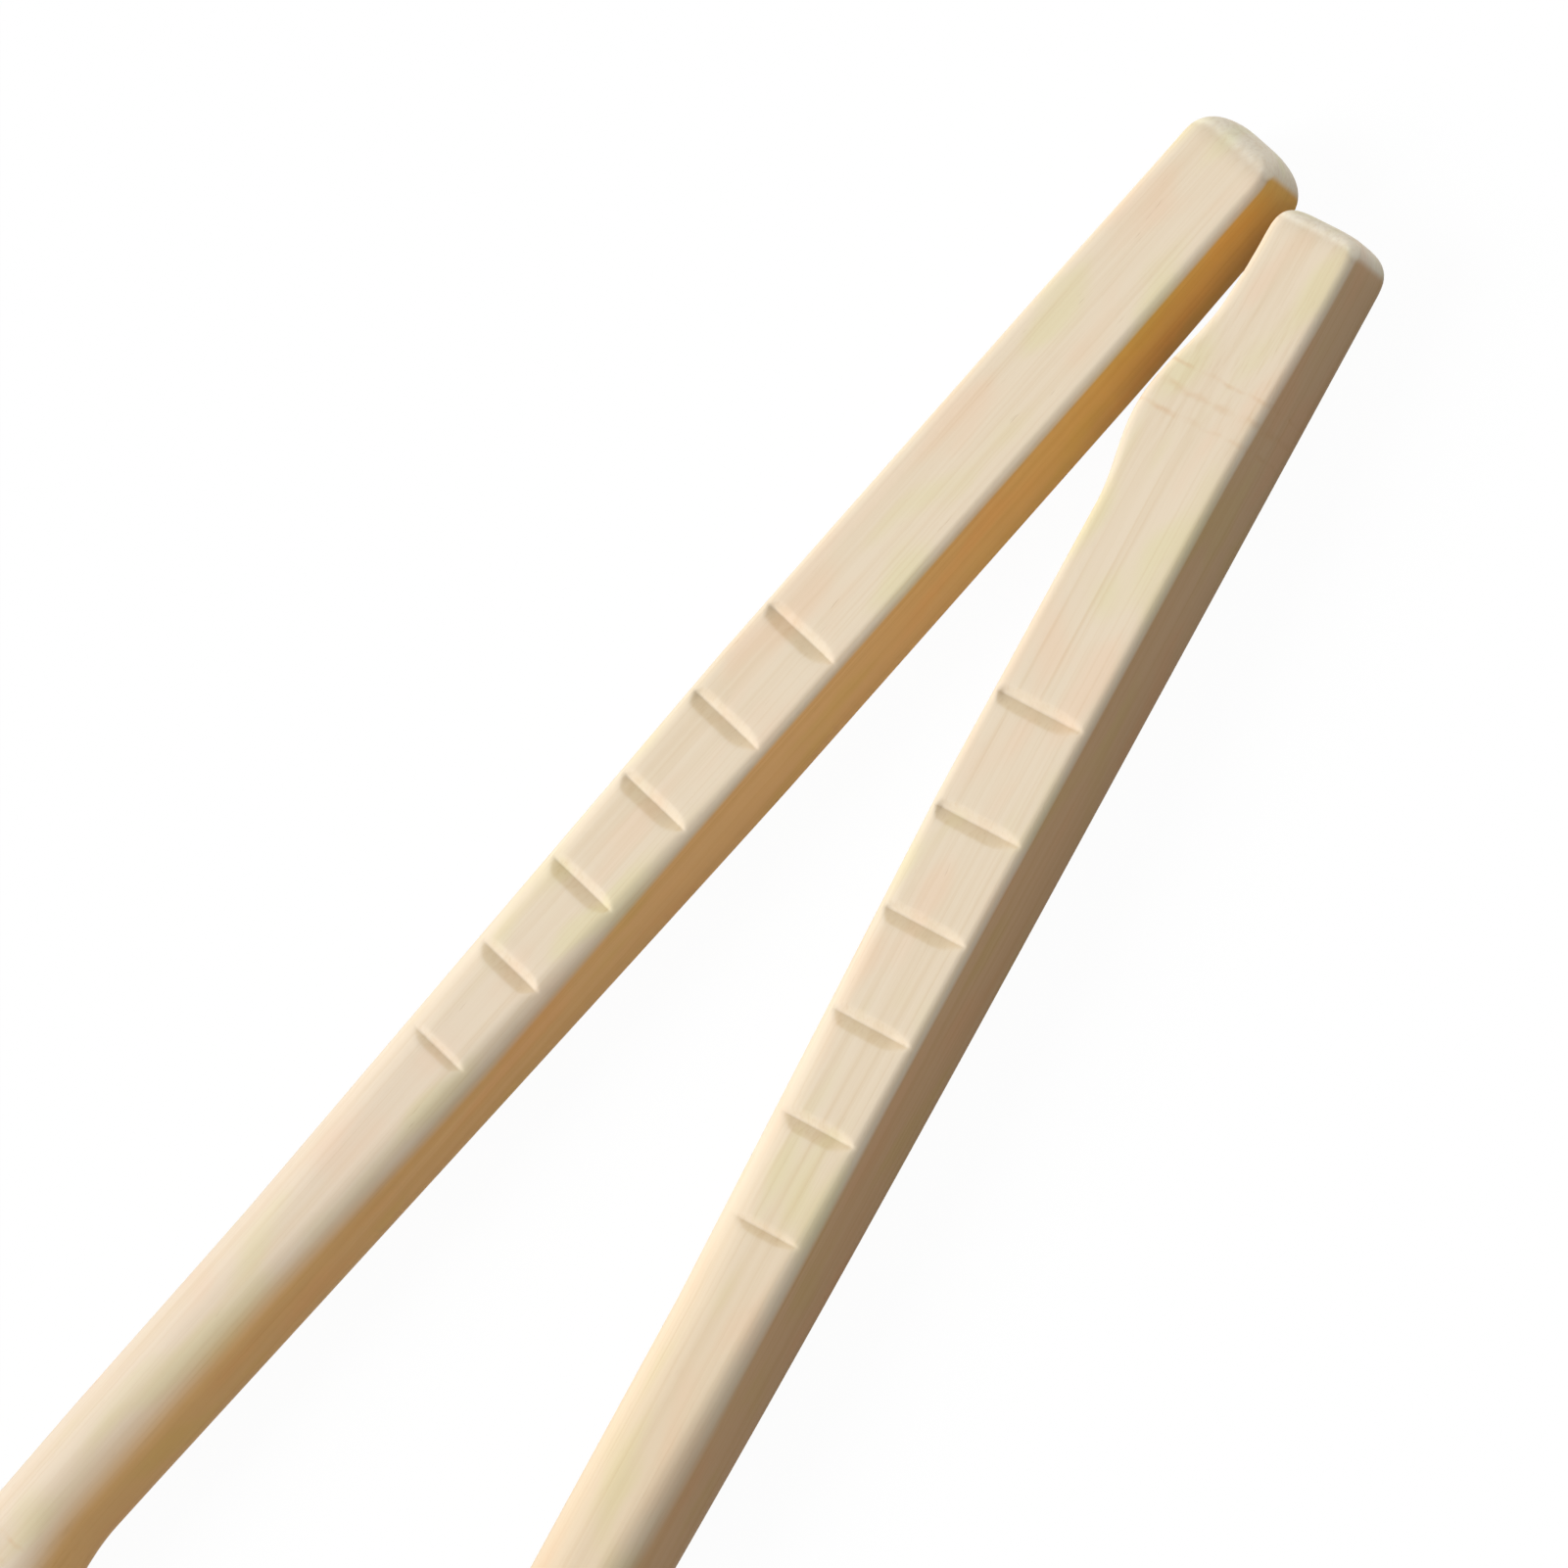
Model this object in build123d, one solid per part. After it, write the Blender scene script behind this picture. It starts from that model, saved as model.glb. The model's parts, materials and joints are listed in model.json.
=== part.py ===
from build123d import *
from dataclasses import dataclass
from math import cos, pi, radians, sin, tan
import os

os.makedirs("parts", exist_ok=True)

# A pair of bamboo chopsticks lying flat in a narrow V, handle ends together at +X.
# Lengths are in millimetres, angles in degrees, and distances along a stick are
# measured from its handle end.

# Sizes that both sticks share
LENGTH = 240.0
EDGE_RADIUS = 1.0
END_ROUNDING = 2.9
SLIM_TO = 21.0
ROUND_FROM = 118.0
TIP_DIAMETER = 4.8
TIP_ROUNDING = 1.8

# Sizes of each stick by itself
LEFT_SIDE = 7.62
LEFT_SLIM = 0.2
LEFT_SQUARE_TO = 54.0
LEFT_NODE = 130.0
LEFT_FIRST_GROOVE = 45.3
LEFT_FIRST_GAP = 7.7
LEFT_GROOVE_PITCH = 7.4
RIGHT_SIDE = 7.98
RIGHT_SLIM = 1.0
RIGHT_SQUARE_TO = 46.0
RIGHT_NODE = 16.0
RIGHT_FIRST_GROOVE = 38.1
RIGHT_FIRST_GAP = 8.7
RIGHT_GROOVE_PITCH = 7.65

# Bamboo node, a swelling on the side that faces the other stick
NODE_SWELL = 1.1
NODE_REACH = 8.0

# Grooves carved across the top face, steep on the handle side and easy on the tip side
GROOVE_COUNT = 6
GROOVE_DEPTH = 0.42
LAST_GROOVE_DEPTH = 0.28
GROOVE_STEEP_ANGLE = 33.0
GROOVE_EASY_ANGLE = 22.0

# How the pair lies
SPLAY = 14.1
HANDLE_GAP = 1.0
LEFT_LEAD = 2.1

# Even the roundest section keeps this share of each side flat, so that all sections loft
# alike, and the crown of the handle end keeps a larger share
FLAT_SHARE = 0.02
CROWN_FLAT_SHARE = 0.3
# Distance between lofted sections where the form curves, and the number of steps in a
# rounded end
STATION_STEP = 0.8
END_STEPS = 4


@dataclass
class Stick:
    """One chopstick. Its inner side, which faces the other stick, is at +Y or -Y."""
    name: str
    inner: int
    side: float
    slim: float
    square_to: float
    node: float
    first_groove: float
    first_gap: float
    groove_pitch: float


LEFT = Stick("left_chopstick", -1, LEFT_SIDE, LEFT_SLIM, LEFT_SQUARE_TO, LEFT_NODE,
             LEFT_FIRST_GROOVE, LEFT_FIRST_GAP, LEFT_GROOVE_PITCH)
RIGHT = Stick("right_chopstick", 1, RIGHT_SIDE, RIGHT_SLIM, RIGHT_SQUARE_TO, RIGHT_NODE,
              RIGHT_FIRST_GROOVE, RIGHT_FIRST_GAP, RIGHT_GROOVE_PITCH)


def share_between(value, start, end):
    """0 before start, 1 after end, and even between them."""
    return min(max((value - start) / (end - start), 0.0), 1.0)


def full_side(stick, distance):
    """Side of the section before the node and the slimmer handle end change it."""
    return stick.side + (TIP_DIAMETER - stick.side) * share_between(distance, ROUND_FROM, LENGTH)


def swelling(stick, distance):
    """How far the node stands out on the inner side."""
    offset = min(abs(distance - stick.node) / NODE_REACH, 1.0)
    return NODE_SWELL * (1 + cos(pi * offset)) / 2


def slimming(stick, distance):
    """How much the handle end is slimmer than the square part, inside and on top."""
    share = share_between(distance, END_ROUNDING, SLIM_TO)
    return stick.slim * (1 + cos(pi * share)) / 2


def corner_radius(stick, distance):
    """Edge radius on the square part, growing evenly until the section is round."""
    round_radius = (1 - FLAT_SHARE) * full_side(stick, distance) / 2
    share = share_between(distance, stick.square_to, ROUND_FROM)
    return EDGE_RADIUS + (round_radius - EDGE_RADIUS) * share


def section(stick, distance, inset=0.0, flat_share=FLAT_SHARE):
    """One cross-section, drawn in the plane square to the stick at that distance."""
    side = full_side(stick, distance)
    width = side - slimming(stick, distance) + swelling(stick, distance)
    height = side - slimming(stick, distance)
    # The outer side stays straight. The underside is flat up to where the taper starts,
    # and from there the stick's middle stays level.
    across = stick.inner * (width - side) / 2
    middle = (height + stick.side - side) / 2
    wide = width - 2 * inset
    high = height - 2 * inset
    largest_radius = (1 - flat_share) * min(wide, high) / 2
    radius = min(corner_radius(stick, distance) + inset / 4, largest_radius)
    plane = Plane(origin=(-distance, across, middle), x_dir=(0, 1, 0), z_dir=(-1, 0, 0))
    return plane * RectangleRounded(wide, high, radius)


def rounded_end(stick, crown, inward, rounding, flat_share):
    """A rounded end from its crown, inward being +1 at the handle and -1 at the tip."""
    sections = []
    for step in range(END_STEPS + 1):
        turn = radians(90 * step / END_STEPS)
        distance = crown + inward * rounding * (1 - cos(turn))
        sections.append(section(stick, distance, rounding * (1 - sin(turn)), flat_share))
    return loft(sections, ruled=True)


def steps_between(stick, start, end):
    """How many steps a length is lofted in, more where the form curves."""
    near_node = start < stick.node + NODE_REACH and end > stick.node - NODE_REACH
    if start < SLIM_TO or near_node:
        return max(round((end - start) / STATION_STEP), 3)
    return 1


def shaft(stick):
    """Everything between the rounded ends, lofted from one change of form to the next."""
    first, last = END_ROUNDING, LENGTH - TIP_ROUNDING
    changes = {SLIM_TO, stick.node - NODE_REACH, stick.node + NODE_REACH, stick.square_to, ROUND_FROM}
    places = [first] + sorted(place for place in changes if first < place < last) + [last]
    lengths = []
    for start, end in zip(places, places[1:]):
        steps = steps_between(stick, start, end)
        sections = [section(stick, start + (end - start) * step / steps) for step in range(steps + 1)]
        lengths.append(loft(sections, ruled=steps == 1))
    return lengths


def groove_cutter(stick, distance, depth):
    """A wedge across the top face, whose lowest edge is the bottom of one groove."""
    bottom = stick.side - depth
    rise = 2 * depth
    steep_run = rise / tan(radians(GROOVE_STEEP_ANGLE))
    easy_run = rise / tan(radians(GROOVE_EASY_ANGLE))
    wedge = Polygon((-distance, bottom), (-distance + steep_run, bottom + rise),
                    (-distance - easy_run, bottom + rise), align=None)
    return extrude(Plane.XZ * wedge, amount=stick.side, both=True)


def grooves(stick):
    """The row of grooves, with a wider first gap and a shallower last groove."""
    cutters = []
    for index in range(GROOVE_COUNT):
        distance = stick.first_groove
        if index > 0:
            distance += stick.first_gap + stick.groove_pitch * (index - 1)
        depth = LAST_GROOVE_DEPTH if index == GROOVE_COUNT - 1 else GROOVE_DEPTH
        cutters.append(groove_cutter(stick, distance, depth))
    return cutters


def chopstick(stick):
    """One stick along -X, its handle end at the origin and its underside at Z = 0."""
    solid = rounded_end(stick, 0.0, 1, END_ROUNDING, CROWN_FLAT_SHARE)
    solid += shaft(stick)
    solid += rounded_end(stick, LENGTH, -1, TIP_ROUNDING, FLAT_SHARE)
    solid -= grooves(stick)
    return solid


def inner_half(stick):
    """From the stick's axis to its inner side, at the handle end."""
    return stick.side / 2 - stick.slim


def placed_pair():
    """Both sticks in their V, with the middle of the pair's footprint at the origin."""
    spacing = inner_half(LEFT) + HANDLE_GAP + inner_half(RIGHT)
    left = Pos(LEFT_LEAD, spacing, 0) * Rot(0, 0, -SPLAY / 2) * chopstick(LEFT)
    right = Rot(0, 0, SPLAY / 2) * chopstick(RIGHT)
    box = Compound([left, right]).bounding_box()
    centring = Pos(-box.center().X, -box.center().Y, 0)
    return {LEFT.name: centring * left, RIGHT.name: centring * right}


for name, solid in placed_pair().items():
    export_step(solid, f"parts/{name}.step")
    size = solid.bounding_box().size
    print(name, f"{size.X:.1f} x {size.Y:.1f} x {size.Z:.1f} mm, {solid.volume:.0f} mm3")
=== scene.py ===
import bpy
import json
from dataclasses import dataclass
from math import cos, pi, radians, sin, tan

import numpy as np
from mathutils import Matrix, Vector

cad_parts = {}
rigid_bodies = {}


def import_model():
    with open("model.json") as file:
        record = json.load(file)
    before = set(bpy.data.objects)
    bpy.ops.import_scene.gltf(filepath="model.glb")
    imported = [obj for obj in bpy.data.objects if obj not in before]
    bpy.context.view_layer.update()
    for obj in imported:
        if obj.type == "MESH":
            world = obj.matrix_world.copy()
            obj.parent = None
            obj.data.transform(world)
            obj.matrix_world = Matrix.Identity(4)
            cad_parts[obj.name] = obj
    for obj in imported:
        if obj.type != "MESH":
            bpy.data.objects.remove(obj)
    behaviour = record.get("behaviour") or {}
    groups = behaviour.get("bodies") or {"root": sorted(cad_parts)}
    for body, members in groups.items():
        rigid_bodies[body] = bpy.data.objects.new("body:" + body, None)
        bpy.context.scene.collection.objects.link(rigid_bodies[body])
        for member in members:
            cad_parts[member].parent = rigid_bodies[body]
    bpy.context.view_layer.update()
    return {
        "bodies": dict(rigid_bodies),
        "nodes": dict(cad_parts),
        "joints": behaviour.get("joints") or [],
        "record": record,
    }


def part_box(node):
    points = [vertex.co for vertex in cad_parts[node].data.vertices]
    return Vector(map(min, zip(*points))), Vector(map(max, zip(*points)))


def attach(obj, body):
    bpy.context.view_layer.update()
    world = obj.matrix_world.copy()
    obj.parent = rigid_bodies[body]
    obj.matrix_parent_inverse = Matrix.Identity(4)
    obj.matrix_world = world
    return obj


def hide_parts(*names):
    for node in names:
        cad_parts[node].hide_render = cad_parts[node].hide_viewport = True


# A pair of bamboo chopsticks lying flat in a narrow V. Lengths are in metres, and angles in
# degrees. Distances along a stick are measured from its handle end, which is at +X. The
# front of a stick is its long side at -Y, and the back is the one at +Y.

MM = 0.001

# Sizes that both sticks share
LENGTH = 240.0 * MM
END_ROUNDING = 2.9 * MM
SLIM_TO = 21.0 * MM
ROUND_FROM = 118.0 * MM
TIP_DIAMETER = 4.8 * MM
TIP_ROUNDING = 1.8 * MM
SPLAY = 14.1

# Shares of a section's sides that stay flat, at its roundest and on the handle's crown, and
# how much of the inset of a rounded end its edges gain in radius
FLAT_SHARE = 0.02
CROWN_FLAT_SHARE = 0.3
INSET_RADIUS_SHARE = 0.25

# Bamboo node
NODE_SWELL = 1.1 * MM
NODE_REACH = 8.0 * MM

# Grooves across the top face, with softened lips, that run out towards its two edges
GROOVE_COUNT = 6
GROOVE_DEPTH = 0.42 * MM
LAST_GROOVE_DEPTH = 0.28 * MM
GROOVE_STEEP_ANGLE = 33.0
GROOVE_EASY_ANGLE = 22.0
LIP_SOFTNESS = 0.08 * MM
LIP_REACH = 4 * LIP_SOFTNESS
GROOVE_FRONT_RUN = 2.2 * MM
GROOVE_BACK_RUN = 1.3 * MM
GROOVE_EDGE_SHARE = 0.05

# Mesh spacing along the stick, and steps on each flat, each corner and each rounded end
STATION_STEP = 0.42 * MM
GROOVE_STEP = 0.09 * MM
GROOVE_MARGIN = 0.5 * MM
FLAT_STEPS = 9
CORNER_STEPS = 11
END_STEPS = 14

# The corners of a section in order, each with its side (back 1 or front -1), whether it is
# up or down (1 or -1), and the angle at which its arc starts
CORNERS = ((1, 1, 0), (-1, 1, 90), (-1, -1, 180), (1, -1, 270))

# Colours of the wood, linear
TOP_COLOUR = (0.79, 0.67, 0.51, 1.0)
# Painted highlight on the rounded long edges
EDGE_HIGHLIGHT_COLOUR = (0.93, 0.80, 0.62, 1.0)
# Painted light on the rounded handle end
END_HIGHLIGHT_COLOUR = (0.95, 0.86, 0.70, 1.0)
# Painted shade on the grooves' walls that face the handle end
GROOVE_SHADE_TINT = (0.93, 0.89, 0.80, 1.0)
PINK_TINT = (1.02, 0.955, 0.93, 1.0)
STRAW_TINT = (0.965, 1.0, 0.88, 1.0)
FIBRE_TINT = (0.90, 0.84, 0.74, 1.0)
FLECK_COLOUR = (0.42, 0.25, 0.11, 1.0)
NODE_COLOUR = (0.62, 0.36, 0.16, 1.0)

# Where each tone lies, from where it starts to where it is full: by how far the surface
# faces up, to the back, along the stick or to its handle end, each at most 1. These place the
# painted highlights on the edges and the handle end, and the painted shade on the front side
# and in the grooves.
EDGE_HIGHLIGHT_UP = (0.98, 0.7)
EDGE_HIGHLIGHT_ALONG = (0.32, 0.2)
SIDE_SHADE_BACK = (0.1, -0.35)
END_ALONG = (0.25, 0.5)
GROOVE_SHADE_HANDLE = (0.16, 0.34)

# The same, by distance along the stick
FAR_DISTANCE = (65.0 * MM, 95.0 * MM)
# The front side's painted shade takes its colour near the handle over this span
NEAR_HANDLE_DISTANCE = (55.0 * MM, 8.0 * MM)
END_DISTANCE = (5.0 * MM, 3.0 * MM)

# The square part and the round part differ in how strongly their edges get the painted
# highlight and in how far a surface faces up where the side's painted shade starts and where
# it is full. The change from one to the other runs between two shares of the front edge's rounding.
EDGE_HIGHLIGHT_STRENGTH = (0.65, 0.05)
SIDE_SHADE_UP_START = (0.6, 1.01)
SIDE_SHADE_UP_FULL = (0.15, 0.58)
ROUNDING_SHARES = (0.3, 0.8)

# How strongly each kind of grain marks the colour
STREAK_STRENGTH = 0.45
FIBRE_STRENGTH = 0.6
FLECK_STRENGTH = 0.3
RING_STRENGTH = 0.35
PORE_STRENGTH = 0.07

# Rings at a node, each by its place from the node's middle and its half width, and how far
# they wander
NODE_RINGS = ((-2.6 * MM, 0.28 * MM), (-1.0 * MM, 0.45 * MM), (0.7 * MM, 0.3 * MM))
RING_WANDER = 0.9 * MM

# Surface of the wood
ROUGHNESS = 0.5
ROUGHNESS_VARIATION = 0.18
WOOD_IOR = 1.45
WOOD_SPECULAR = 0.3
RELIEF_DEPTH = 0.03 * MM
RELIEF_STRENGTH = 0.35

# Light: a broad key from the back on the tip side and a low fill along the sticks from
# their handle ends, over an even ambient light
KEY_FROM = Vector((-0.9, 1.0, 1.05))
KEY_SPREAD = 34.0
KEY_STRENGTH = 2.85
FILL_FROM = Vector((1.0, 0.25, 0.3))
FILL_SPREAD = 40.0
FILL_STRENGTH = 1.0
AMBIENT = 0.35

# Floor, just under the sticks
FLOOR_SIZE = 6.0
FLOOR_DROP = 0.05 * MM
FLOOR_BOUNCE = (0.36, 0.35, 0.34, 1.0)
SHADOW_SHARE = 0.035
WHITE = (1.0, 1.0, 1.0, 1.0)

# Camera, from the photograph's edges
CAMERA_DISTANCE = 1.0
CAMERA_ELEVATION = 65.3
CAMERA_AZIMUTH = 2.6
CAMERA_ROLL = -57.3
CAMERA_TARGET = Vector((66.06, 7.45, 0.0)) * MM
FOCAL_LENGTH = 338.6
SENSOR_WIDTH = 36.0


@dataclass
class Rounding:
    """How a long edge's radius grows to a full round, later where the power is higher."""
    radius: float
    start: float
    end: float
    power: float


@dataclass
class Stick:
    """One chopstick in its own frame: handle end at x = 0, tip towards -X, underside at z = 0.

    Its inner side, which faces the other stick, is at +Y or -Y. A lower end_power makes a
    fuller handle end, and end_back_share is how much of its rounding the back has. The two
    side colours are painted shade, warmed by bounce light, on the front side.
    """
    name: str
    inner: int
    side: float
    slim: float
    node: float
    first_groove: float
    first_gap: float
    groove_pitch: float
    front_rounding: Rounding
    back_rounding: Rounding
    end_power: float
    end_back_share: float
    side_shade_colour: tuple
    handle_side_shade_colour: tuple
    far_tint: tuple
    seed: float


LEFT = Stick(
    name="left_chopstick",
    inner=-1,
    side=7.62 * MM,
    slim=0.2 * MM,
    node=130.0 * MM,
    first_groove=45.3 * MM,
    first_gap=7.7 * MM,
    groove_pitch=7.4 * MM,
    front_rounding=Rounding(0.75 * MM, 54.0 * MM, ROUND_FROM, 1.15),
    back_rounding=Rounding(1.0 * MM, 50.0 * MM, 100.0 * MM, 1.0),
    end_power=0.85,
    end_back_share=1.0,
    # Painted shade and warm bounce light on the front side, with its own colour near the handle
    side_shade_colour=(0.92, 0.57, 0.24, 1.0),
    handle_side_shade_colour=(0.84, 0.50, 0.115, 1.0),
    far_tint=(0.97, 0.96, 0.98, 1.0),
    seed=3.0,
)
RIGHT = Stick(
    name="right_chopstick",
    inner=1,
    side=7.98 * MM,
    slim=1.0 * MM,
    node=16.0 * MM,
    first_groove=38.1 * MM,
    first_gap=8.7 * MM,
    groove_pitch=7.65 * MM,
    front_rounding=Rounding(0.75 * MM, 46.0 * MM, ROUND_FROM, 2.5),
    back_rounding=Rounding(1.0 * MM, 46.0 * MM, 84.0 * MM, 1.0),
    end_power=0.6,
    end_back_share=0.5,
    # Painted shade and warm bounce light on the front side, with its own colour near the handle
    side_shade_colour=(0.74, 0.475, 0.25, 1.0),
    handle_side_shade_colour=(0.71, 0.485, 0.275, 1.0),
    far_tint=(0.96, 0.92, 0.86, 1.0),
    seed=11.0,
)


@dataclass
class Grain:
    """Noise drawn out along the fibres: the size of its coarsest grain, and the levels
    between which it comes to show."""
    along: float
    across: float
    shows_from: float
    full_at: float
    seed: float
    detail: float = 2.0
    roughness: float = 0.5


# Pink and straw patches are the high and the low parts of one noise
PINK_PATCHES = Grain(9.0 * MM, 3.2 * MM, 0.52, 0.72, seed=0.0, detail=1.0)
STRAW_PATCHES = Grain(9.0 * MM, 3.2 * MM, 0.48, 0.28, seed=0.0, detail=1.0)
STREAKS = Grain(45.0 * MM, 0.8 * MM, 0.42, 0.75, seed=1.0)
FIBRES = Grain(30.0 * MM, 0.22 * MM, 0.45, 0.8, seed=2.0, detail=3.0, roughness=0.6)
FLECKS = Grain(1.6 * MM, 0.16 * MM, 0.68, 0.8, seed=3.0, detail=1.0)
FLECK_CLUSTERS = Grain(14.0 * MM, 1.5 * MM, 0.45, 0.7, seed=4.0)
RING_BENDS = Grain(2.5 * MM, 2.5 * MM, 0.0, 1.0, seed=5.0)
RING_BREAKS = Grain(1.2 * MM, 1.6 * MM, 0.35, 0.7, seed=6.0)
PORES = Grain(6.0 * MM, 0.3 * MM, 0.5, 0.62, seed=7.0, detail=0.0)


def share_between(value, start, end):
    """0 before start, 1 after end, and even between them."""
    return min(max((value - start) / (end - start), 0.0), 1.0)


def full_side(stick, distance):
    """Side of the section before the node and the slimmer handle end change it."""
    return stick.side + (TIP_DIAMETER - stick.side) * share_between(distance, ROUND_FROM, LENGTH)


def swelling(stick, distance):
    """How far the node stands out on the inner side."""
    offset = min(abs(distance - stick.node) / NODE_REACH, 1.0)
    return NODE_SWELL * (1 + cos(pi * offset)) / 2


def slimming(stick, distance):
    """How much the handle end is slimmer than the square part, inside and on top."""
    share = share_between(distance, END_ROUNDING, SLIM_TO)
    return stick.slim * (1 + cos(pi * share)) / 2


def edge_radius(stick, distance, rounding):
    """Radius of a long edge, growing until the section is round."""
    round_radius = (1 - FLAT_SHARE) * full_side(stick, distance) / 2
    share = share_between(distance, rounding.start, rounding.end) ** rounding.power
    return rounding.radius + (round_radius - rounding.radius) * share


def groove_places(stick):
    """Distance and depth of each groove, with a wider first gap and a shallower last groove."""
    places = [(stick.first_groove, GROOVE_DEPTH)]
    for index in range(1, GROOVE_COUNT):
        distance = stick.first_groove + stick.first_gap + stick.groove_pitch * (index - 1)
        depth = LAST_GROOVE_DEPTH if index == GROOVE_COUNT - 1 else GROOVE_DEPTH
        places.append((distance, depth))
    return places


def soft_least(a, b, softness):
    """The smaller of two heights, eased where they are nearly the same."""
    return (a + b - np.sqrt((a - b) ** 2 + softness ** 2)) / 2


def groove_share(across, half_wide):
    """The share of a groove's depth that it has at each place, less towards both edges."""
    from_back = np.clip((half_wide - across) / GROOVE_BACK_RUN, 0, 1)
    from_front = np.clip((half_wide + across) / GROOVE_FRONT_RUN, 0, 1)
    share = np.minimum(from_back, from_front)
    return GROOVE_EDGE_SHARE + (1 - GROOVE_EDGE_SHARE) * share * share * (3 - 2 * share)


def carved_height(stick, distance, across, height):
    """Height of the top surface once the grooves are cut into it."""
    share = groove_share(across, np.abs(across).max())
    steep, easy = tan(radians(GROOVE_STEEP_ANGLE)), tan(radians(GROOVE_EASY_ANGLE))
    for place, depth in groove_places(stick):
        past = distance - place
        wall = stick.side - depth * share + (past * easy if past > 0 else -past * steep)
        if wall.min() < stick.side + LIP_REACH:
            height = soft_least(height, wall, LIP_SOFTNESS)
    return height


def flat_between(start, end):
    """Points on a flat, without the two corner points that it runs between."""
    shares = (np.arange(1, FLAT_STEPS) / FLAT_STEPS)[:, None]
    return start + (end - start) * shares


def section_corners(stick, distance, half_wide, half_high, inset, flat_share):
    """The arcs of points at a section's four corners."""
    largest_radius = (1 - flat_share) * min(half_wide, half_high)
    arcs = []
    for back, up, start in CORNERS:
        rounding = stick.back_rounding if back > 0 else stick.front_rounding
        radius = edge_radius(stick, distance, rounding) + inset * INSET_RADIUS_SHARE
        radius = min(radius, largest_radius)
        centre = np.array((back * (half_wide - radius), up * (half_high - radius)))
        turns = np.radians(start + 90 * np.arange(CORNER_STEPS + 1) / CORNER_STEPS)
        arcs.append(centre + radius * np.column_stack((np.cos(turns), np.sin(turns))))
    return arcs


def section_outline(stick, distance, inset, flat_share):
    """Points round one section, starting at the top of its back side, as (across, height)."""
    side = full_side(stick, distance)
    width = side - slimming(stick, distance) + swelling(stick, distance)
    height = side - slimming(stick, distance)
    # The outer side stays straight. The underside is flat up to where the taper starts,
    # and from there the stick's middle stays level.
    across = stick.inner * (width - side) / 2
    middle = (height + stick.side - side) / 2
    if distance < END_ROUNDING:
        spared = inset * (1 - stick.end_back_share)
        across += spared / 2
        width += spared
    half_wide, half_high = width / 2 - inset, height / 2 - inset
    arcs = section_corners(stick, distance, half_wide, half_high, inset, flat_share)
    points = []
    for arc, following in zip(arcs, arcs[1:] + arcs[:1]):
        points += [arc, flat_between(arc[-1], following[0])]
    return np.vstack(points) + (across, middle)


def end_stations(crown, inward, rounding, power, flat_share):
    """Stations of a rounded end from its crown, inward being +1 at the handle and -1 at the tip."""
    places = []
    for step in range(END_STEPS):
        turn = radians(90 * (step + 0.5) / END_STEPS)
        distance = crown + inward * rounding * (1 - cos(turn) ** power)
        places.append((distance, rounding * (1 - sin(turn) ** power), flat_share))
    return places


def stations(stick):
    """Places along the stick as (distance, inset, flat share), close together at the grooves."""
    grooves = [place for place, _ in groove_places(stick)]
    before = GROOVE_DEPTH / tan(radians(GROOVE_STEEP_ANGLE)) + GROOVE_MARGIN
    after = GROOVE_DEPTH / tan(radians(GROOVE_EASY_ANGLE)) + GROOVE_MARGIN
    places = end_stations(0.0, 1, END_ROUNDING, stick.end_power, CROWN_FLAT_SHARE)
    distance = END_ROUNDING
    while distance < LENGTH - TIP_ROUNDING:
        places.append((distance, 0.0, FLAT_SHARE))
        near = any(place - before < distance < place + after for place in grooves)
        distance += GROOVE_STEP if near else STATION_STEP
    return places + end_stations(LENGTH, -1, TIP_ROUNDING, 1, FLAT_SHARE)[::-1]


def carved_ring(stick, distance, inset, flat_share):
    """One section's points in the stick's own frame, with its grooves cut into the top."""
    outline = section_outline(stick, distance, inset, flat_share)
    middle = (stick.side - slimming(stick, distance)) / 2
    top = outline[:, 1] > middle
    outline[top, 1] = carved_height(stick, distance, outline[top, 0], outline[top, 1])
    return np.column_stack([np.full(len(outline), -distance), outline])


def stick_skin(stick):
    """A closed quad skin over the sections with a fan at each crown, as (points, faces)."""
    rings = [carved_ring(stick, *station) for station in stations(stick)]
    handle_middle = rings[0].mean(0) * (0, 1, 1)
    tip_middle = rings[-1].mean(0) * (0, 1, 1) - (LENGTH, 0, 0)
    around = len(rings[0])
    steps = [(step, (step + 1) % around) for step in range(around)]
    last = (len(rings) - 1) * around
    handle_crown, tip_crown = last + around, last + around + 1
    faces = []
    for start in range(0, last, around):
        after = start + around
        faces += [(start + a, start + b, after + b, after + a) for a, b in steps]
    for a, b in steps:
        faces.append((handle_crown, b, a))
        faces.append((tip_crown, last + a, last + b))
    return np.vstack(rings + [handle_middle, tip_middle]), faces


def lean(stick):
    """The stick's turn from -X to its side of the V."""
    return radians(stick.inner * SPLAY / 2)


def turned(stick, points):
    """Points of the stick's own frame, turned to its side of the V."""
    return points @ np.array(Matrix.Rotation(lean(stick), 3, "Z")).T


def place_in_frame(stick, points):
    """Where the stick's own origin comes to lie, with its skin in the middle of its box."""
    low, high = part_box(stick.name)
    own_middle = (points.min(0) + points.max(0)) / 2
    place = (np.array(low) + np.array(high)) / 2 - own_middle
    return (place[0], place[1], 0.0)


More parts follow.
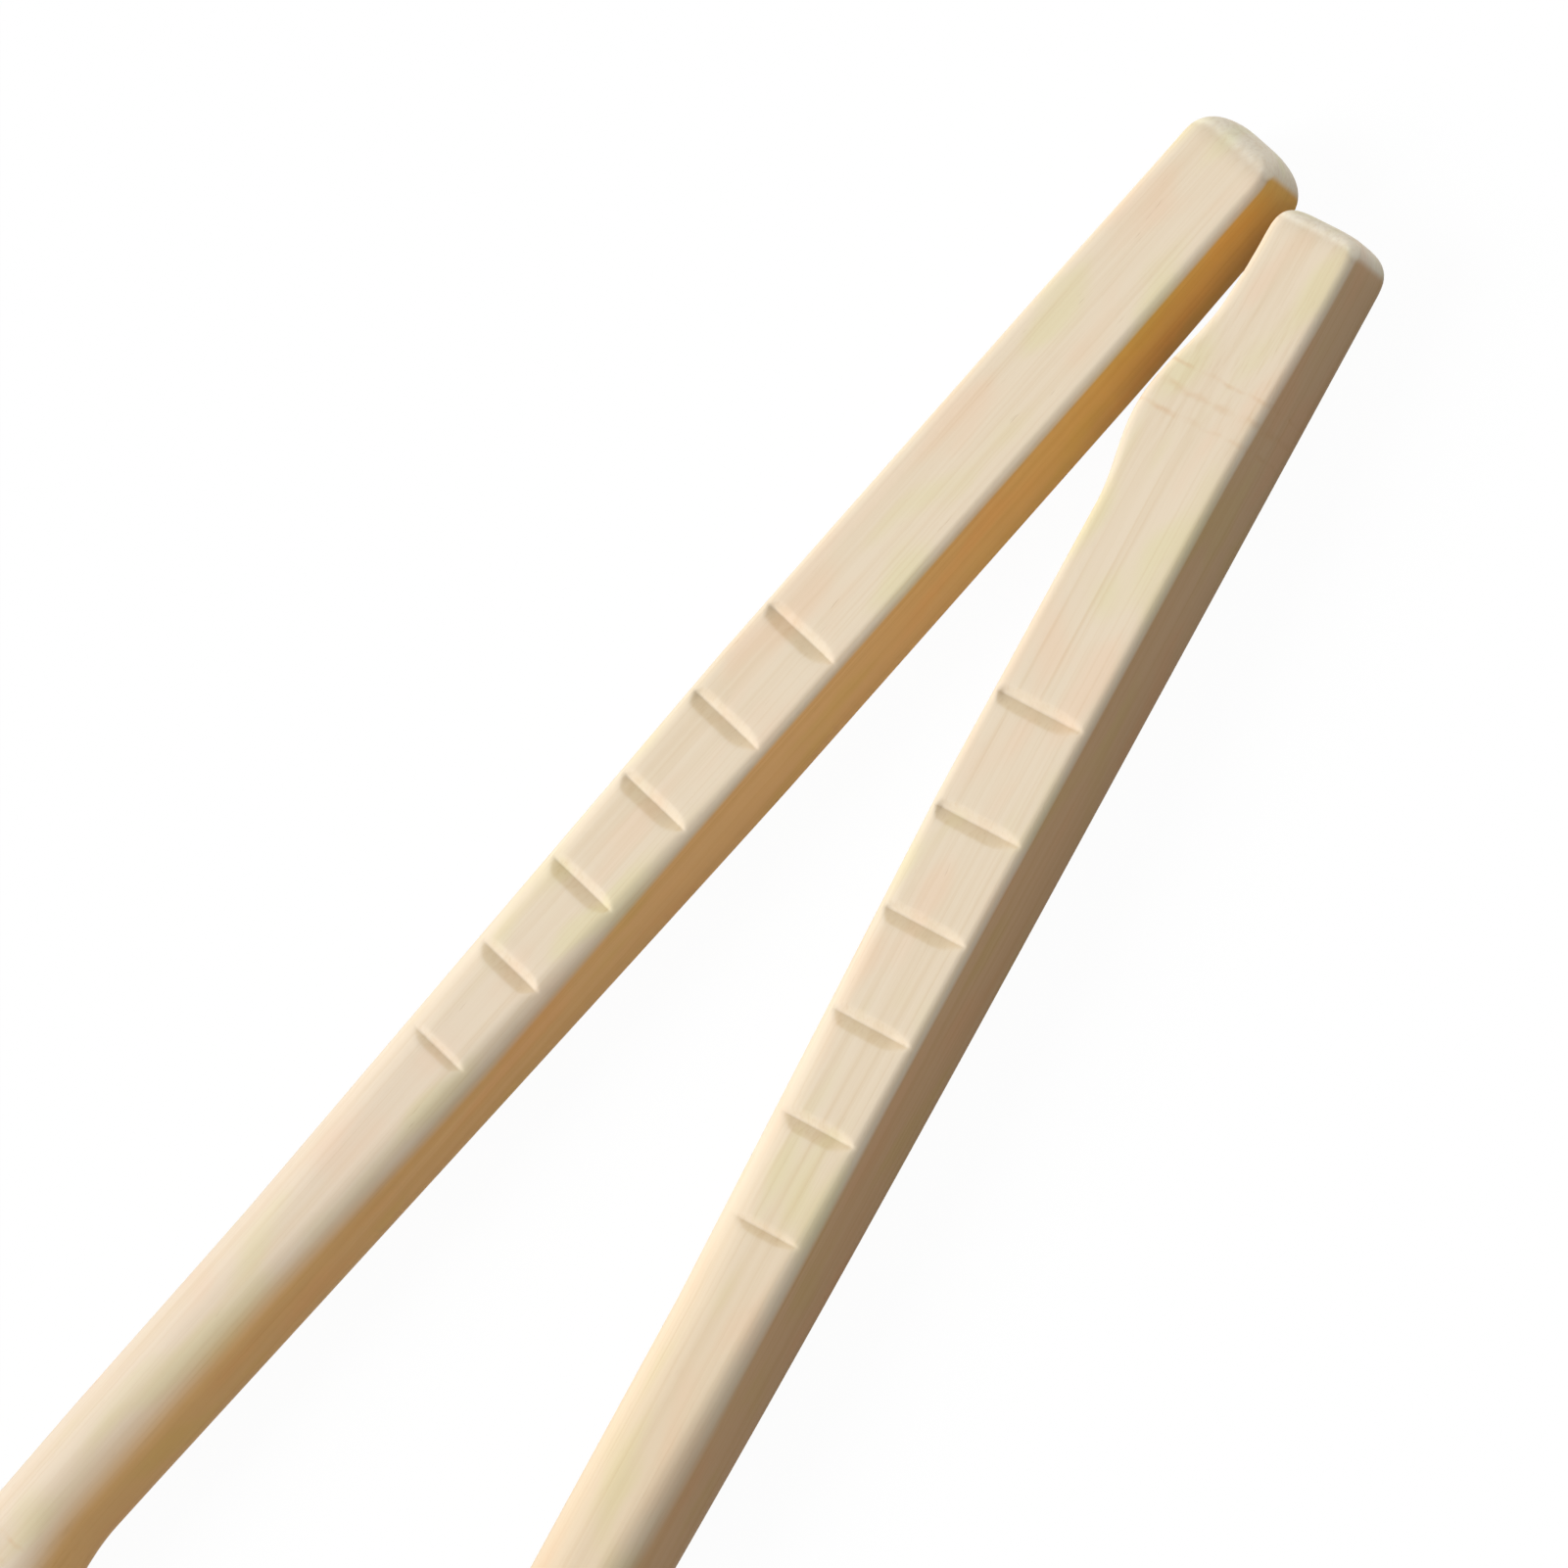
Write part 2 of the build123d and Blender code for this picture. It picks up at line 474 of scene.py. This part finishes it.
class Graph:
    """Adds nodes to one material or world and wires them."""

    def __init__(self, owner):
        owner.use_nodes = True
        self.tree = owner.node_tree
        self.tree.nodes.clear()

    def feed(self, socket, value):
        if isinstance(value, bpy.types.NodeSocket):
            self.tree.links.new(value, socket)
        else:
            socket.default_value = value

    def node(self, kind, inputs, **settings):
        made = self.tree.nodes.new(kind)
        for name, value in settings.items():
            setattr(made, name, value)
        for name, value in inputs.items():
            self.feed(made.inputs[name], value)
        return made

    def math(self, operation, *values):
        return self.node("ShaderNodeMath", dict(enumerate(values)), operation=operation).outputs[0]

    def times(self, a, b):
        return self.math("MULTIPLY", a, b)

    def between(self, factor, ends):
        """A number that goes from the first end to the second as the factor goes from 0 to 1."""
        return self.math("MULTIPLY_ADD", factor, ends[1] - ends[0], ends[0])

    def ease(self, value, start, full):
        """0 at start and 1 at full, smooth between them."""
        values = {"Value": value, "From Min": start, "From Max": full}
        return self.node("ShaderNodeMapRange", values, interpolation_type="SMOOTHSTEP").outputs[0]

    def mix(self, factor, a, b, blend="MIX"):
        """Colour a changed to or by colour b. Sockets 6, 7 and 2 are the Mix node's colours."""
        values = {0: factor, 6: a, 7: b}
        return self.node("ShaderNodeMix", values, data_type="RGBA", blend_type=blend).outputs[2]

    def tint(self, factor, colour, tint):
        return self.mix(factor, colour, tint, "MULTIPLY")

    def noise(self, place, grain, seed):
        stretch = (1 / grain.along, 1 / grain.across, 1 / grain.across)
        vector = self.node("ShaderNodeMapping", {"Vector": place, "Scale": stretch}).outputs[0]
        values = {"Vector": vector, "W": seed + grain.seed, "Scale": 1.0,
                  "Detail": grain.detail, "Roughness": grain.roughness}
        return self.node("ShaderNodeTexNoise", values, noise_dimensions="4D").outputs[0]

    def shown(self, noise, grain):
        """How much a grain shows where its noise has a value."""
        return self.ease(noise, grain.shows_from, grain.full_at)


def stick_place(graph, stick, origin):
    """The shaded point in the stick's own frame."""
    world = graph.node("ShaderNodeTexCoord", {}).outputs["Object"]
    frame = {"Vector": world, "Location": origin, "Rotation": (0.0, 0.0, lean(stick))}
    return graph.node("ShaderNodeMapping", frame, vector_type="TEXTURE").outputs[0]


def distance_along(graph, place):
    """Distance from the stick's handle end."""
    return graph.times(graph.node("ShaderNodeSeparateXYZ", {0: place}).outputs["X"], -1.0)


def face_turn(graph):
    """How far the surface faces up, to the back, and to the handle ends."""
    normal = graph.node("ShaderNodeNewGeometry", {}).outputs["Normal"]
    parts = graph.node("ShaderNodeSeparateXYZ", {0: normal}).outputs
    return parts["Z"], parts["Y"], parts["X"]


def rounded_share(graph, stick, distance):
    """0 where the stick is square and 1 where its front edge is nearly round."""
    rounding = stick.front_rounding
    run = rounding.end - rounding.start
    places = [rounding.start + run * share ** (1 / rounding.power) for share in ROUNDING_SHARES]
    return graph.ease(distance, *places)


def wood_colour(graph, stick, distance):
    """The wood's plain colour, and how much each point belongs to the handle's end face.

    Painted highlights make the edges and the handle end lighter, painted shade makes the front
    side browner, and painted shade darkens the grooves' walls on the tip side.
    """
    up, back, handle = face_turn(graph)
    along = graph.math("ABSOLUTE", handle)
    rounded = rounded_share(graph, stick, distance)

    # Painted highlight on the rounded edges
    edge = graph.times(graph.ease(up, *EDGE_HIGHLIGHT_UP), graph.ease(along, *EDGE_HIGHLIGHT_ALONG))
    edge = graph.times(edge, graph.between(rounded, EDGE_HIGHLIGHT_STRENGTH))
    colour = graph.mix(edge, TOP_COLOUR, EDGE_HIGHLIGHT_COLOUR)
    colour = graph.tint(graph.ease(distance, *FAR_DISTANCE), colour, stick.far_tint)

    # Painted shade, warmed by bounce light, on the front side
    near_handle = graph.ease(distance, *NEAR_HANDLE_DISTANCE)
    side_shade_colour = graph.mix(near_handle, stick.side_shade_colour, stick.handle_side_shade_colour)
    start, full = graph.between(rounded, SIDE_SHADE_UP_START), graph.between(rounded, SIDE_SHADE_UP_FULL)
    side = graph.times(graph.ease(up, start, full), graph.ease(back, *SIDE_SHADE_BACK))
    colour = graph.mix(side, colour, side_shade_colour)

    at_end = graph.ease(distance, *END_DISTANCE)
    end = graph.times(graph.ease(along, *END_ALONG), at_end)
    # Painted light on the handle end
    colour = graph.mix(end, colour, END_HIGHLIGHT_COLOUR)
    # Painted shade on the grooves' walls that face the handle end
    groove = graph.times(graph.ease(handle, *GROOVE_SHADE_HANDLE), graph.math("SUBTRACT", 1.0, at_end))
    return graph.tint(groove, colour, GROOVE_SHADE_TINT), end


def node_rings(graph, stick, place, distance):
    """The broken dark rings that cross the stick at its bamboo node."""
    bends = graph.noise(place, RING_BENDS, stick.seed)
    shifted = graph.math("MULTIPLY_ADD", bends, RING_WANDER, distance)
    rings = 0.0
    for offset, half_width in NODE_RINGS:
        away = graph.math("ABSOLUTE", graph.math("SUBTRACT", shifted, stick.node + offset))
        rings = graph.math("MAXIMUM", rings, graph.ease(away, half_width, 0.0))
    breaks = graph.shown(graph.noise(place, RING_BREAKS, stick.seed), RING_BREAKS)
    return graph.times(rings, breaks)


def bamboo(stick, origin):
    """Pale sanded bamboo, with fibres along the stick, soft patches, flecks and node rings."""
    material = bpy.data.materials.new(stick.name + "_bamboo")
    graph = Graph(material)
    place = stick_place(graph, stick, origin)
    distance = distance_along(graph, place)
    colour, end = wood_colour(graph, stick, distance)

    patches = graph.noise(place, PINK_PATCHES, stick.seed)
    colour = graph.tint(graph.shown(patches, PINK_PATCHES), colour, PINK_TINT)
    colour = graph.tint(graph.shown(patches, STRAW_PATCHES), colour, STRAW_TINT)

    streaks = graph.noise(place, STREAKS, stick.seed)
    fibres = graph.noise(place, FIBRES, stick.seed)
    lines = graph.times(graph.shown(streaks, STREAKS), STREAK_STRENGTH)
    colour = graph.tint(lines, colour, FIBRE_TINT)
    fine_lines = graph.times(graph.shown(fibres, FIBRES), FIBRE_STRENGTH)
    colour = graph.tint(fine_lines, colour, FIBRE_TINT)

    flecks = graph.shown(graph.noise(place, FLECKS, stick.seed), FLECKS)
    clusters = graph.shown(graph.noise(place, FLECK_CLUSTERS, stick.seed), FLECK_CLUSTERS)
    flecks = graph.times(flecks, clusters)
    colour = graph.mix(graph.times(flecks, FLECK_STRENGTH), colour, FLECK_COLOUR)

    rings = node_rings(graph, stick, place, distance)
    colour = graph.mix(graph.times(rings, RING_STRENGTH), colour, NODE_COLOUR)

    pores = graph.times(graph.shown(graph.noise(place, PORES, stick.seed), PORES), end)
    colour = graph.mix(graph.times(pores, PORE_STRENGTH), colour, FLECK_COLOUR)

    relief = graph.math("SUBTRACT", graph.math("SUBTRACT", fibres, flecks), rings)
    bump = graph.node("ShaderNodeBump", {
        "Height": relief, "Strength": RELIEF_STRENGTH, "Distance": RELIEF_DEPTH})
    skin = graph.node("ShaderNodeBsdfPrincipled", {
        "Base Color": colour,
        "Roughness": graph.math("MULTIPLY_ADD", streaks, ROUGHNESS_VARIATION, ROUGHNESS),
        "IOR": WOOD_IOR,
        "Specular IOR Level": WOOD_SPECULAR,
        "Normal": bump.outputs[0]})
    graph.node("ShaderNodeOutputMaterial", {"Surface": skin.outputs[0]})
    return material


def add_stick(stick):
    """The stick's detailed skin, standing for its plain solid."""
    points, faces = stick_skin(stick)
    points = turned(stick, points)
    origin = place_in_frame(stick, points)
    mesh = bpy.data.meshes.new(stick.name + "_skin")
    mesh.from_pydata((points + origin).tolist(), [], faces)
    mesh.validate()
    mesh.polygons.foreach_set("use_smooth", [True] * len(mesh.polygons))
    mesh.materials.append(bamboo(stick, origin))
    piece = bpy.data.objects.new(stick.name + "_wood", mesh)
    bpy.context.scene.collection.objects.link(piece)
    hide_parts(stick.name)
    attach(piece, "root")


def seen_by_eye(graph):
    """1 for rays from the camera, also by way of gloss or glass, and 0 for light that spreads."""
    path = graph.node("ShaderNodeLightPath", {}).outputs
    mirrored = graph.math("MAXIMUM", path["Is Glossy Ray"], path["Is Transmission Ray"])
    return graph.math("MAXIMUM", path["Is Camera Ray"], mirrored)


def floor_white():
    """White to the eye, with a faint shadow, while it gives back a modest bounce of light."""
    material = bpy.data.materials.new("floor_white")
    graph = Graph(material)
    glow = graph.node("ShaderNodeEmission", {"Color": WHITE, "Strength": 1.0}).outputs[0]
    paper = graph.node("ShaderNodeBsdfDiffuse", {"Color": WHITE}).outputs[0]
    shown = graph.node("ShaderNodeMixShader", {0: SHADOW_SHARE, 1: glow, 2: paper}).outputs[0]
    bounce = graph.node("ShaderNodeBsdfDiffuse", {"Color": FLOOR_BOUNCE}).outputs[0]
    surface = graph.node("ShaderNodeMixShader", {0: seen_by_eye(graph), 1: bounce, 2: shown})
    graph.node("ShaderNodeOutputMaterial", {"Surface": surface.outputs[0]})
    return material


def add_floor():
    """A plain floor under the sticks."""
    half = FLOOR_SIZE / 2
    corners = [(-half, -half, 0), (half, -half, 0), (half, half, 0), (-half, half, 0)]
    mesh = bpy.data.meshes.new("floor")
    mesh.from_pydata(corners, [], [(0, 1, 2, 3)])
    mesh.materials.append(floor_white())
    floor = bpy.data.objects.new("floor", mesh)
    floor.location.z = -FLOOR_DROP
    bpy.context.scene.collection.objects.link(floor)


def add_sun(name, direction, spread, strength):
    sun = bpy.data.objects.new(name, bpy.data.lights.new(name, "SUN"))
    sun.data.energy = strength
    sun.data.angle = radians(spread)
    sun.rotation_euler = direction.to_track_quat("Z", "Y").to_euler()
    bpy.context.scene.collection.objects.link(sun)


def add_light():
    """The key, the fill and the ambient light, with a white world behind the floor."""
    add_sun("key", KEY_FROM, KEY_SPREAD, KEY_STRENGTH)
    add_sun("fill", FILL_FROM, FILL_SPREAD, FILL_STRENGTH)

    world = bpy.data.worlds.new("studio")
    bpy.context.scene.world = world
    graph = Graph(world)
    ambient = graph.node("ShaderNodeBackground", {"Color": WHITE, "Strength": AMBIENT}).outputs[0]
    white = graph.node("ShaderNodeBackground", {"Color": WHITE, "Strength": 1.0}).outputs[0]
    seen = graph.node("ShaderNodeMixShader", {0: seen_by_eye(graph), 1: ambient, 2: white})
    graph.node("ShaderNodeOutputWorld", {"Surface": seen.outputs[0]})


def add_camera():
    """The photograph's camera: high over the sticks, and rolled so that they run up to the right."""
    elevation, azimuth = radians(CAMERA_ELEVATION), radians(CAMERA_AZIMUTH)
    back = Vector((sin(azimuth) * cos(elevation), -cos(azimuth) * cos(elevation), sin(elevation)))
    camera = bpy.data.objects.new("camera", bpy.data.cameras.new("camera"))
    camera.data.lens = FOCAL_LENGTH
    camera.data.sensor_width = SENSOR_WIDTH
    level = back.to_track_quat("Z", "Y").to_matrix().to_4x4()
    place = Matrix.Translation(CAMERA_TARGET + back * CAMERA_DISTANCE)
    camera.matrix_world = place @ level @ Matrix.Rotation(radians(CAMERA_ROLL), 4, "Z")
    bpy.context.scene.collection.objects.link(camera)
    bpy.context.scene.camera = camera


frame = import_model()

add_stick(LEFT)
add_stick(RIGHT)
add_floor()
add_light()
add_camera()
bpy.context.scene.view_settings.view_transform = "Standard"
